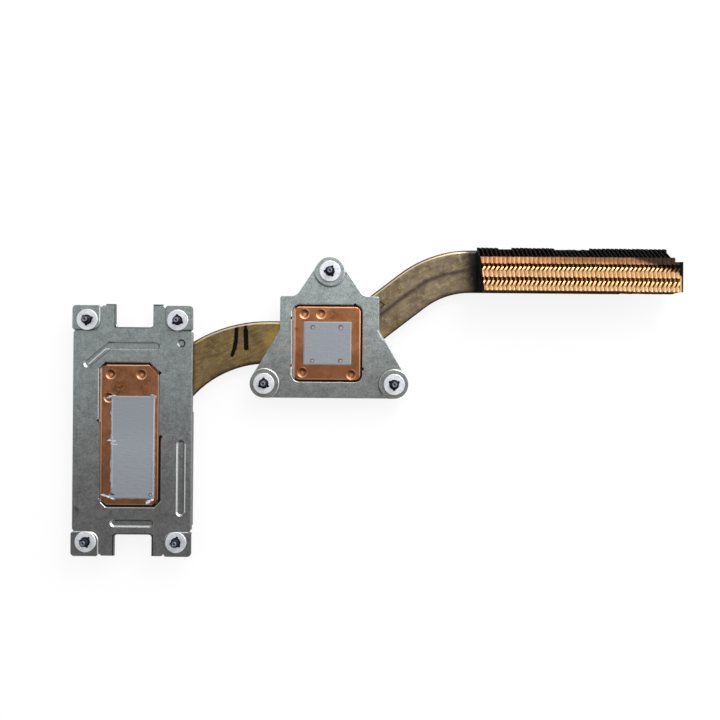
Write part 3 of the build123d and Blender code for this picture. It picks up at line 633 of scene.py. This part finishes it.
def finFinish():
    made, place, facing = newFinish("finCopper")
    x, y, z = place.axes()
    cloud = place.noise(0.35, 3.0, 0.6)
    grain = place.noise(4.0, 3.0, 0.6)
    tone = (cloud * 0.5 + grain * 0.5).fade(0.34, 0.68)
    colour = tone.blend(finLook["dark"], finLook["light"])
    # painted highlights: the hook rows are painted paler, less so on the lowest row, and paler still
    # where their faces tilt
    hooks = y.fade(*finLook["hookRows"]) * z.fade(*finLook["front"])
    lower = 1 - y.fade(*finLook["lowRow"]) * 0.4
    colour = (hooks * lower * (0.2 + grain * 0.45)).blend(colour, finLook["pale"])
    tiltHighlight = facing.fade(0.998, 0.95) * facing.fade(0.3, 0.6) * hooks
    colour = (tiltHighlight * lower * 0.75).blend(colour, finLook["tiltHighlight"])
    # painted shade in the valleys between the petals and deeper down inside the stack
    valley = z.fade(5.66, 5.46) * z.fade(5.2, 5.3)
    colour = (valley * 0.6).blend(colour, finLook["valley"])
    colour = (z.fade(*finLook["innerDepth"]) * 0.7).blend(colour, finLook["inner"])
    # black paint: on the slope, drifting over the far corner, and on both ends and the underside
    slope = y - fin["farY"] + (z - levels["pipeNear"]) * finLook["slopeRise"]
    rough = place.noise(0.9, 4.0, 0.65)
    painted = (slope + rough * 0.8 - 0.4).fade(*finLook["slopeEdge"])
    near = z.fade(5.2, 5.6)
    painted = painted * (1 - near) + (slope + rough * 0.3).fade(-0.3, 0.1) * near
    drift = (x * 0.3 + y + rough * 1.2).fade(*finLook["drift"])
    haze = (x + rough * 8 - 4).fade(*finLook["hazeAlong"]) * (y + rough).fade(*finLook["hazeAcross"])
    farEnd = (x + rough * 0.3 - y.fade(42.4, 41.6) * 0.55).fade(*finLook["farEnd"])
    nearEnd = (x + (y - 46.5) * 0.12 - rough * 0.4 + 0.2).fade(*finLook["nearEnd"])
    lowEdge = (y + rough * 0.2 - 0.1).fade(*finLook["lowEdge"]) * x.fade(*finLook["tubeEnd"])
    underside = y.fade(*finLook["underside"]) * z.fade(*finLook["throat"])
    paint = painted
    for mask in (drift * 0.94, haze * 0.6, farEnd, nearEnd, underside * 0.85, lowEdge * 0.9):
        paint = paint.most(mask)
    paint = paint.least(1.0)
    colour = paint.blend(colour, finLook["paint"])
    return setFinish(made, colour=colour, roughness=0.27 + grain * 0.12 + paint * 0.5,
                     metallic=(1 - paint) * (1 - z.fade(5.35, 5.1) * 0.65), specular=0.05,
                     relief=grain, depth=0.01)


# The captive screw's sizes, its places, and how far each one is turned in the photograph
screw = {"head": 2.75, "headEdge": 0.2, "shoulder": 1.45, "fillet": 0.12, "shoulderEnd": 0.27,
         "bevel": 0.1, "neck": 1.275, "neckEnd": 0.83, "neckBevel": 0.07, "core": 0.79, "tip": 3.3,
         "recess": (1.3, 0.3, 0.7), "recessTaper": (0.45, 0.7, 1), "threadFrom": 0.86,
         "threadPitch": 0.4, "threadTurns": 5, "threadSides": 20, "threadSize": (0.12, 0.15, 1),
         "threadOut": 0.09, "threadCrest": 0.25, "cpuHalves": (12, 29.5), "gpuCentre": (52.3, 22.9),
         "gpuRadius": 20, "gpuAngles": (90, 210, 330),
         "turns": {"cpu": (15, 50, 80, 35), "gpu": (60, 5, 40)}}


def plainMetal(name, dark, light, roughness, scale=3.0, depth=0.008, metallic=1.0, tipHighlight=None):
    made, place, _ = newFinish(name)
    grain = place.noise(scale, 3.0, 0.6)
    cloud = place.noise(scale * 0.2, 2.0, 0.5)
    colour = (grain * 0.5 + cloud * 0.5).fade(0.3, 0.7).blend(dark, light)
    # painted highlight: the screw's tip is painted lighter
    if tipHighlight:
        tip = place.axes()[2].fade(screw["tip"] - 0.14, screw["tip"] - 0.04)
        colour = (tip * (0.3 + cloud)).least(1.0).blend(colour, tipHighlight)
    return setFinish(made, colour=colour, roughness=roughness + grain * 0.15, metallic=metallic,
                     relief=grain, depth=depth)


cpuDimples = ((-5.8, 15.0), (2.35, 15.0), (-6.3, 8.8))
gpuDimples = ((45.6, 31.5), (50.0, 31.5), (45.1, 15.9), (58.1, 15.4))
finishes = {
    "cpuPlate": plateFinish(
        "cpuPlateSteel", top=(0.262, 0.292, 0.292), bottom=(0.165, 0.166, 0.163), reach=(28, -22),
        smudges=(((-15.0, -20.6), 0.35, 0.2, 1.6), ((-14.5, -21.15), 0.5, 0.25, 1.6),
                 ((-13.0, -27.0), 2.0, 1.8, 0.22), ((9.0, 3.0), 3.0, 2.8, 0.12)),
        shadedEdges=(((-4.7, 33.9), (-4.7, 27.7), 0.5), ((-4.3, 27.45), (5.1, 27.45), 0.22),
                 ((-8.2, 33.75), (-4.8, 33.75), 0.6), ((5.5, 33.6), (8.3, 33.75), 0.6),
                 ((-4.75, -33.9), (-4.75, -28.0), 0.75), ((-4.5, -27.5), (5.2, -27.5), 0.3),
                 ((5.55, -33.9), (5.55, -27.9), 0.5), ((-8.0, -33.7), (-5.0, -33.7), 0.5),
                 ((5.8, -33.7), (8.6, -33.7), 0.4), ((-15.6, 26.7), (-9.4, 26.7), 0.16),
                 ((9.4, 26.75), (15.8, 26.75), 0.16), ((-4.8, -23.9), (5.2, -24.0), 0.32),
                 ((12.4, -2.75), (13.4, -2.75), 0.35)),
        paintedHighlights=(((-8.85, 16.2), (-8.85, 2.7), 0.36), ((-8.75, -18.3), (-6.95, -20.2), 0.36),
                  ((-6.95, -20.25), (5.6, -20.2), 0.3), ((5.6, -20.2), (7.3, -18.6), 0.26),
                  ((7.55, -3.0), (7.55, -18.0), 0.16), ((14.15, -3.4), (14.15, -21.6), 0.2),
                  ((-7.3, 21.75), (6.2, 21.75), 0.2), ((-7.4, 21.75), (-11.9, 17.7), 0.18)),
        shadedStretches=(((15.9, -27), (15.9, 27), 1.4), ((12.9, 23.4), (12.9, 23.5), 2.8))),
    "gpuPlate": plateFinish(
        "gpuPlateSteel", top=(0.325, 0.36, 0.36), bottom=(0.2, 0.206, 0.2), reach=(40, 6),
        smudges=(((46.0, 11.0), 1.2, 1.0, 0.15),),
        paintedHighlights=(((42.3, 32.2), (42.3, 30.8), 0.32), ((42.3, 30.0), (42.3, 18.2), 0.2),
                  ((42.25, 17.2), (42.3, 15.4), 0.4), ((42.3, 15.4), (43.6, 13.75), 0.42),
                  ((43.6, 13.7), (58.8, 13.7), 0.34), ((58.8, 13.7), (60.9, 15.2), 0.3),
                  ((61.0, 15.2), (61.2, 16.8), 0.2), ((65.15, 27.2), (66.6, 24.7), 0.2))),
    "cpuCopper": copperFinish(
        "cpuCopper", dark=(0.165, 0.068, 0.03), light=(0.345, 0.152, 0.075), bright=(0.8, 0.43, 0.27),
        brown=(0.085, 0.036, 0.016), block={"centre": (-0.7, -1.1), "size": (15.4, 37.3),
                                         "shadeFalloff": (0, -20), "deep": (0.11, 0.055, 0.028)},
        dimples=cpuDimples, stains=(((-3.7, 11.2), 1.6, 0.8), ((-3.0, 13.0), 3.5, 0.35),
                                    ((4.0, 11.5), 2.5, 0.35))),
    "gpuCopper": copperFinish(
        "gpuCopper", dark=(0.22, 0.088, 0.037), light=(0.4, 0.175, 0.08), bright=(0.9, 0.46, 0.28),
        brown=(0.12, 0.045, 0.018), block={"centre": (51.75, 23.75), "size": (17.6, 19.4),
                                        "shadeFalloff": (27, 16), "deep": (0.13, 0.045, 0.016)},
        dimples=gpuDimples, stains=(((53.07, 31.4), 1.3, 0.75), ((43.5, 27.4), 0.5, 0.8))),
    "paste": pasteFinish(),
    "pipe": pipeFinish(),
    "fins": finFinish(),
    "wick": plainMetal("sinteredWick", (0.4, 0.15, 0.06), (0.6, 0.27, 0.12), 0.7, 8.0, 0.05),
    "solder": plainMetal("greySolder", (0.12, 0.12, 0.12), (0.22, 0.22, 0.21), 0.6, 2.0, 0.03),
    "ring": plainMetal("ringSteel", (0.62, 0.645, 0.69), (0.86, 0.88, 0.92), 0.34, 1.6, 0.004, 0.85),
    "spring": plainMetal("springSteel", (0.2, 0.205, 0.21), (0.34, 0.345, 0.35), 0.32),
    "screw": plainMetal("blackOxide", (0.003, 0.003, 0.004), (0.012, 0.014, 0.022), 0.3, 4.0, 0.006, 0.7,
                        tipHighlight=(0.16, 0.18, 0.23)),
}
wearing = {"cpu_plate": "cpuPlate", "gpu_plate": "gpuPlate", "cpu_base": "cpuCopper",
           "gpu_base": "gpuCopper", "cpu_thermal_paste": "paste", "gpu_thermal_paste": "paste",
           "heat_pipe": "pipe", "heat_pipe_wick": "wick", "fin_stack": "fins"}
for node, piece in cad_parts.items():
    kind = wearing.get(node) or node.split("_")[1]
    piece.data.materials.clear()
    piece.data.materials.append(finishes[kind])
print("finishes made:", len(finishes))


# Each spring is a copy of its CAD coil. It stays in metres
spring = {"fixedEnd": -0.0005, "keep": 0.575, "weld": 0.000001, "smooth": 50}
for node, source in list(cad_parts.items()):
    if "_spring_" not in node:
        continue
    plate, number = node.split("_spring_")
    coil = bpy.data.objects.new(plate + "Spring" + number, source.data.copy())
    bpy.context.scene.collection.objects.link(coil)
    openForEdit(coil)
    bpy.ops.mesh.select_all(action="SELECT")
    bpy.ops.mesh.remove_doubles(threshold=spring["weld"])
    bpy.ops.object.mode_set(mode="OBJECT")
    bpy.ops.object.shade_smooth_by_angle(angle=math.radians(spring["smooth"]))
    coil.data.name = coil.name
    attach(coil, "frame")
    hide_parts(node)
    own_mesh(coil)
print("springs copied")


# Fin stack: one folded fin made by hand, then copied along the pipe

def foldFin(farY, nearY, last=False):
    lowZ = levels["pipeNear"] + fin["sheet"] / 2
    highZ = levels["pipeNear"] + fin["height"] - fin["sheet"] / 2
    bend, middleX = fin["bend"], fin["sheet"] / 2
    bpy.ops.mesh.primitive_plane_add(
        size=2, location=(middleX, (fin["lowY"] + farY) / 2, (lowZ + highZ) / 2),
        rotation=(0, math.radians(90), 0))
    piece = sized(((highZ - lowZ) / 2 - bend, (farY - fin["lowY"]) / 2, 1))
    openForEdit(piece)
    pick("VERT", lambda v: v.co.y > 40 and v.co.z > 2)
    bpy.ops.transform.translate(value=(0, nearY - farY, 0))
    stations = sorted({y for low, foot, high in finRows
                       for y in (low, low + 0.3, (low + foot) / 2, foot, (foot + high) / 2, high)
                       if fin["lowY"] + 0.01 < y < nearY - 0.2} | {nearY - 0.35})
    for y in stations:
        bpy.ops.mesh.select_all(action="SELECT")
        bpy.ops.mesh.bisect(plane_co=(0, y, 0), plane_no=(0, 1, 0))
    # fold the near edge over into the row of hooks, and the far edge into the soldered foot
    pick("EDGE", lambda e: all(v.co.z > highZ - bend - 0.01 for v in e.verts))
    for step in fin["hookFold"]:
        bpy.ops.mesh.extrude_region_move(TRANSFORM_OT_translate={"value": step})
    pick("EDGE", lambda e: all(v.co.z < lowZ + bend + 0.01 for v in e.verts))
    for step in fin["footFold"]:
        bpy.ops.mesh.extrude_region_move(TRANSFORM_OT_translate={"value": step})

    def cutAway(face):
        place = face.calc_center_median()
        between = any(high < place.y < nextRow[0]
                      for (_, _, high), nextRow in zip(finRows, finRows[1:]))
        inNeck = any(foot < place.y < high for _, foot, high in finRows)
        if last:
            return place.x > fin["neckTo"]
        if place.z < highZ - bend:
            return False
        return between or (inNeck and not fin["neckFrom"] <= place.x <= fin["neckTo"])

    pick("FACE", cutAway)
    bpy.ops.mesh.delete(type="FACE")
    bpy.ops.object.mode_set(mode="OBJECT")

    def shape(co):
        if last:
            return co
        if co.z > highZ - 0.01:
            for low, foot, high in finRows:
                if foot <= co.y <= high + 0.01:
                    along = (co.y - foot) / (high - foot)
                    co.x += fin["neckLean"] * along - 0.12
                    co.z += 0.02 - 0.16 * along ** 2
                elif low - 0.01 <= co.y < foot:
                    outer = max(0, co.x - 0.5) / 0.8
                    co.z -= 0.26 * outer ** 2 + 0.1 * max(0, 0.55 - co.x) / 0.2
                    if co.y < low + 0.02:
                        co.y += 0.4 * max(0, 0.7 - co.x) / 0.3 + 0.25 * outer ** 2
        elif co.z < lowZ + 0.01 and co.y > farY - 0.05:
            co.y -= 0.12 * (max(0, co.x - 0.5) / 0.6) ** 2
        return co

    reshape(piece, shape)
    return modify(piece, "SOLIDIFY", thickness=fin["sheet"], offset=0)


wholeFin = foldFin(fin["farY"], fin["nearY"])
shortFin = foldFin(fin["farY"] - fin["shortBy"], fin["nearY"] - 0.02)
endFin = foldFin(fin["endY"], fin["endY"])
lastFin = foldFin(fin["endY"], fin["endY"], last=True)
row = []
rough = random.Random(7)
for k in range(fin["count"]):
    source = shortFin if k in fin["shortFins"] else wholeFin
    source = endFin if k in fin["endFins"] else source
    source = lastFin if k == fin["count"] - 1 else source
    shiftY = rough.uniform(-fin["unevenY"], fin["unevenY"])
    one = copyOf(source, (fin["firstX"] + k * fin["pitch"], shiftY, 0))
    tilt = rough.uniform(-fin["unevenLean"], fin["unevenLean"])
    reshape(one, lambda co: co + Vector((max(0, co.z - 4) * tilt, 0, 0)))
    row.append(one)
for source in (wholeFin, shortFin, endFin, lastFin):
    bpy.data.objects.remove(source)
settle(join(row), "hookedFins", "frame", finishes["fins"], ("fin_stack",))
print("fins folded and set:", fin["count"])


# Thermal paste: printed slabs with a soft lip, ragged edges and drag marks

def printPaste(look, name, node):
    low, base = levels["copperFace"], 0.0
    cell = 0.17
    width, length = look["size"]
    bpy.ops.mesh.primitive_grid_add(
        x_subdivisions=round(width / cell), y_subdivisions=round(length / cell), size=1,
        location=(*look["centre"], base))
    piece = sized((width, length, 1))

    def shape(co):
        atX, atY = co.x - look["centre"][0], co.y - look["centre"][1]
        edge = min(width / 2 - abs(atX), length / 2 - abs(atY))
        ragged = noise.noise(Vector((co.x * 1.7, co.y * 1.7, 3))) + 0.6 * noise.noise(
            Vector((co.x * 5, co.y * 5, 9)))
        pull = look["ragged"] * max(0, 1 - edge / 0.8) * (ragged - 0.3)
        for centre, reach in look["nicks"]:
            away = math.hypot(co.x - centre[0], co.y - centre[1])
            pull -= 0.5 * math.exp(-(away / reach) ** 2) * max(0, 1 - edge / 1.2)
        if width / 2 - abs(atX) < length / 2 - abs(atY):
            co.x += math.copysign(pull, atX)
        else:
            co.y += math.copysign(pull, atY)
        drag = noise.noise(Vector((co.x * 0.5, co.y * 2.6, 0)))
        co.z = base - 0.03 + 0.014 * drag + look["lip"] * math.exp(-((edge - 0.4) / 0.22) ** 2)
        for x, y in look["dents"]:
            away = math.hypot(co.x - x, co.y - y)
            co.z += 0.02 * math.exp(-((away - 0.66) / 0.13) ** 2) - 0.05 * (away < 0.5)
        if edge < 0.3:
            co.z = low + (co.z - low) * math.sqrt(max(0, edge / 0.3)) - 0.004
        return co

    reshape(piece, shape)
    openForEdit(piece)
    bpy.ops.mesh.select_all(action="DESELECT")
    bpy.ops.mesh.select_mode(type="EDGE")
    bpy.ops.mesh.select_non_manifold()
    bpy.ops.mesh.edge_face_add()
    faceOutwards(piece)
    parts = [piece]
    for (x, y), (halfX, halfY), turn in look["lumps"]:
        bpy.ops.mesh.primitive_uv_sphere_add(segments=24, ring_count=12, radius=1,
                                             location=(x, y, low + 0.03),
                                             rotation=(0, 0, math.radians(turn)))
        lump = sized((halfX, halfY, 0.1))

        def uneven(co):
            shift = noise.noise_vector(Vector((co.x * 1.6, co.y * 1.6, 5)))
            return co + Vector((shift.x * 0.25, shift.y * 0.25, 0))

        reshape(lump, uneven)
        parts.append(lump)
    return settle(join(parts), name, "frame", finishes["paste"], (node,), 60)


printPaste(cpuPaste, "cpuPastePrint", "cpu_thermal_paste")
printPaste(gpuPaste, "gpuPastePrint", "gpu_thermal_paste")
print("paste printed")


# Captive screws: cross recess in the head, shoulder, neck for the ring and a cut thread

def turnScrew():
    bottom, top, edge = levels["headBottom"], levels["headTop"], screw["headEdge"]
    head, shoulder, neck, core, tip = [screw[key] for key in ("head", "shoulder", "neck", "core", "tip")]
    shoulderEnd, neckEnd, bevel = screw["shoulderEnd"], screw["neckEnd"], screw["bevel"]
    shank = turned([(head - edge, bottom), (head - edge * 0.3, bottom + edge * 0.3),
                    (head, bottom + edge), (head, top - edge * 0.5), (head - edge * 0.5, top),
                    (shoulder + screw["fillet"], top), (shoulder, top + screw["fillet"]),
                    (shoulder, shoulderEnd - bevel), (shoulder - bevel, shoulderEnd),
                    (neck, shoulderEnd), (neck, neckEnd - screw["neckBevel"]),
                    (neck - screw["neckBevel"], neckEnd), (core, neckEnd), (core, tip - 0.2),
                    (0.56, tip), (0.36, tip), (0.26, tip - 0.1), (0.02, tip - 0.14)])
    halfLong, halfWide, deep = screw["recess"]
    for turn in (0, 90):
        bpy.ops.mesh.primitive_cube_add(size=2, location=(0, 0, bottom))
        wing = sized((halfLong, halfWide, deep))
        openForEdit(wing)
        pick("FACE", lambda f: f.calc_center_median().z > bottom + deep / 2)
        bpy.ops.transform.resize(value=screw["recessTaper"], center_override=(0, 0, bottom + deep))
        bpy.ops.object.mode_set(mode="OBJECT")
        turnedWing = copyOf(wing, turn=turn)
        modify(shank, "BOOLEAN", operation="DIFFERENCE", solver="EXACT", object=turnedWing)
        bpy.data.objects.remove(wing)
        bpy.data.objects.remove(turnedWing)
    # thread: a small wedge section drawn round as a helix
    wedgeX = core + screw["threadOut"]
    bpy.ops.mesh.primitive_plane_add(size=2, location=(wedgeX, 0, screw["threadFrom"]),
                                     rotation=(math.radians(90), 0, 0))
    wedge = sized(screw["threadSize"])
    openForEdit(wedge)
    pick("VERT", lambda v: v.co.x > wedgeX)
    bpy.ops.transform.resize(value=(1, 1, screw["threadCrest"]),
                             center_override=(0, 0, screw["threadFrom"]))
    bpy.ops.mesh.select_all(action="SELECT")
    bpy.ops.mesh.delete(type="ONLY_FACE")
    bpy.ops.object.mode_set(mode="OBJECT")
    modify(wedge, "SCREW", angle=math.radians(360), screw_offset=screw["threadPitch"],
           iterations=screw["threadTurns"], steps=screw["threadSides"],
           render_steps=screw["threadSides"], use_merge_vertices=True)
    openForEdit(wedge)
    bpy.ops.mesh.select_all(action="SELECT")
    bpy.ops.mesh.fill_holes(sides=8)
    faceOutwards(wedge)
    return join([shank, wedge])


oneScrew = turnScrew()
halfX, halfY = screw["cpuHalves"]
middleX, middleY = screw["gpuCentre"]
screwPlaces = {"cpu": [(x, y) for y in (halfY, -halfY) for x in (-halfX, halfX)],
               "gpu": [(middleX + screw["gpuRadius"] * math.cos(math.radians(angle)),
                        middleY + screw["gpuRadius"] * math.sin(math.radians(angle)))
                       for angle in screw["gpuAngles"]]}
for chip, places in screwPlaces.items():
    for k, (x, y) in enumerate(places, 1):
        settle(copyOf(oneScrew, (x, y, 0), screw["turns"][chip][k - 1]), f"{chip}CaptiveScrew{k}",
               f"{chip}_screw_{k}_body", finishes["screw"], (f"{chip}_screw_{k}",), 40)
bpy.data.objects.remove(oneScrew)
print("screws turned")


# Rims thrown up round the punched dimples

dimple = {"radius": 1.33, "wall": 0.13, "height": 0.035, "floorRadius": 0.62, "floorWall": 0.07,
          "depth": 0.34}


def raiseRims(centres, name, finish):
    rings = []
    for x, y in centres:
        for radius, z, wall in ((dimple["radius"], levels["copperFace"], dimple["wall"]),
                                (dimple["floorRadius"], levels["copperFace"] - dimple["depth"],
                                 dimple["floorWall"])):
            bpy.ops.mesh.primitive_torus_add(location=(x, y, z), major_radius=radius,
                                             minor_radius=wall, major_segments=40, minor_segments=10)
            ring = sized()
            squash = dimple["height"] / dimple["wall"]

            def press(co):
                uneven = 1 + 0.35 * noise.noise(Vector((co.x * 1.2, co.y * 1.2, 1)))
                co.z = z + (co.z - z) * squash * uneven
                return co

            reshape(ring, press)
            rings.append(ring)
    return settle(join(rings), name, "frame", finish, smooth=60)


raiseRims(cpuDimples, "cpuDimpleRims", finishes["cpuCopper"])
raiseRims(gpuDimples, "gpuDimpleRims", finishes["gpuCopper"])


# Solder squeezed out along the pipe, seen from the sides and the back

# Each run has its start, heading, straight length, and the radius and length of the bend after it
solder = {"radius": 0.3, "step": 0.6, "sunk": 0.1,
          "bases": (((-2.72, -16.0), 90, 6.9, -38.7, 26.0), ((43.3, 29.62), 0, 4.08, 19.8, 12.2),
                    ((43.3, 18.18), 0, 4.08, 31.2, 13.0)),
          "fins": (((91.8, 49.06), 0, 38.2, 1.0, 0.0),)}


def runBead(start, heading, straight, bend, arc):
    length = straight + arc
    bpy.ops.mesh.primitive_cylinder_add(vertices=8, radius=solder["radius"], depth=length,
                                        location=(length / 2, 0, 0), rotation=(0, math.radians(90), 0))
    piece = sized()
    openForEdit(piece)
    pick("EDGE", lambda e: e.calc_length() > length * 0.9)
    bpy.ops.mesh.subdivide(number_cuts=int(length / solder["step"]))
    bpy.ops.object.mode_set(mode="OBJECT")
    forward = Vector((math.cos(math.radians(heading)), math.sin(math.radians(heading)), 0))
    left = Vector((-forward.y, forward.x, 0))

    def follow(co):
        wave = noise.noise(Vector((co.x * 0.8, start[1], 4)))
        turn = max(0, co.x - straight) / bend
        middle = Vector((*start, 0)) + forward * min(co.x, straight)
        middle += (forward * math.sin(turn) + left * (1 - math.cos(turn))) * bend
        placed = middle + (left * math.cos(turn) - forward * math.sin(turn)) * co.y * (1 + wave * 0.9)
        placed.z = levels["pipeNear"] - solder["sunk"] + co.z * (0.8 + wave * 0.6)
        return placed

    reshape(piece, follow)
    return piece


settle(join([runBead(*run) for run in solder["bases"]]), "solderFillets", "frame",
       finishes["solder"], smooth=50)
settle(join([runBead(*run) for run in solder["fins"]]), "finSolderFillet", "frame",
       finishes["fins"], smooth=50)
print("rims and solder added")
